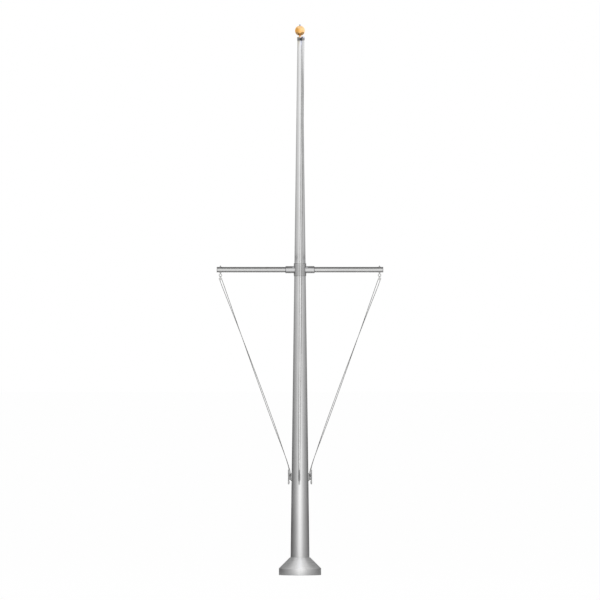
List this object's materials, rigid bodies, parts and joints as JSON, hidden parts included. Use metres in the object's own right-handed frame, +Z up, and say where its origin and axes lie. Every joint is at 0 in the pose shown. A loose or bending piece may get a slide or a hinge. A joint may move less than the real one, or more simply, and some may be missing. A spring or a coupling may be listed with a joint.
{
  "type": "nautical flagpole with yardarm",
  "caption": "Tapered aluminium mast with a horizontal yard, revolving truck and gold ball, halyards on pulley blocks and cleats, and a flash collar over its bolted base.",
  "frame": {"origin": "centre of the base flange's underside, at ground level", "axes": "+Z up the mast, X along the yard, -Y towards the front cleat"},
  "size_m": [2.376, 0.6028, 7.86],
  "materials": {
    "satin_aluminium": "satin, brushed along its length",
    "spun_aluminium": "satin, with fine spinning rings",
    "cast_aluminium": "fine cast, lightly sanded",
    "stainless": "satin stainless",
    "polished_metal": "polished",
    "gold_anodised": "gold anodised, satin",
    "sheave_nylon": "moulded nylon",
    "rope": "braided polyester"
  },
  "bodies": {
    "root": {"base_flange": "cast_aluminium", "block_pin_left": "stainless", "block_pin_right": "stainless", "block_shell_left": "stainless", "block_shell_right": "stainless", "cleat_front": "cast_aluminium", "cleat_left": "cast_aluminium", "cleat_right": "cast_aluminium", "eye_bolt_left": "stainless", "eye_bolt_right": "stainless", "eye_nut_bottom_left": "stainless", "eye_nut_bottom_right": "stainless", "eye_nut_top_left": "stainless", "eye_nut_top_right": "stainless", "flash_collar": "spun_aluminium", "halyard_left": "rope", "halyard_right": "rope", "mast": "satin_aluminium", "mast_halyard_left_line": "rope", "mast_halyard_right_line": "rope", "truck_spindle": "stainless", "yard_cap_left": "cast_aluminium", "yard_cap_right": "cast_aluminium", "yard_collar": "satin_aluminium", "yard_socket_left": "satin_aluminium", "yard_socket_right": "satin_aluminium", "yard_spar_left": "satin_aluminium", "yard_spar_right": "satin_aluminium"},
    "truck": {"truck_body": "polished_metal", "truck_pin": "stainless", "ball": "gold_anodised", "ball_stem": "stainless", "ball_nut": "stainless", "mast_halyard_top": "rope"},
    "truck_wheel": {"truck_sheave": "sheave_nylon"},
    "block_wheel_left": {"block_sheave_left": "sheave_nylon"},
    "block_wheel_right": {"block_sheave_right": "sheave_nylon"}
  },
  "joints": [
    {"name": "truck_turn", "type": "hinge", "parent": "root", "child": "truck", "pos_m": [0, 0, 7.64], "axis": [0, 0, 1], "continuous": true},
    {"name": "truck_sheave_spin", "type": "hinge", "parent": "truck", "child": "truck_wheel", "pos_m": [0.04503, -0.02394, 7.6523], "axis": [0.8829, -0.4695, 0], "continuous": true},
    {"name": "block_left_sheave_spin", "type": "hinge", "parent": "root", "child": "block_wheel_left", "pos_m": [-1.135, 0, 4.227], "axis": [0, -1, 0], "continuous": true},
    {"name": "block_right_sheave_spin", "type": "hinge", "parent": "root", "child": "block_wheel_right", "pos_m": [1.135, 0, 4.227], "axis": [0, -1, 0], "continuous": true}
  ]
}
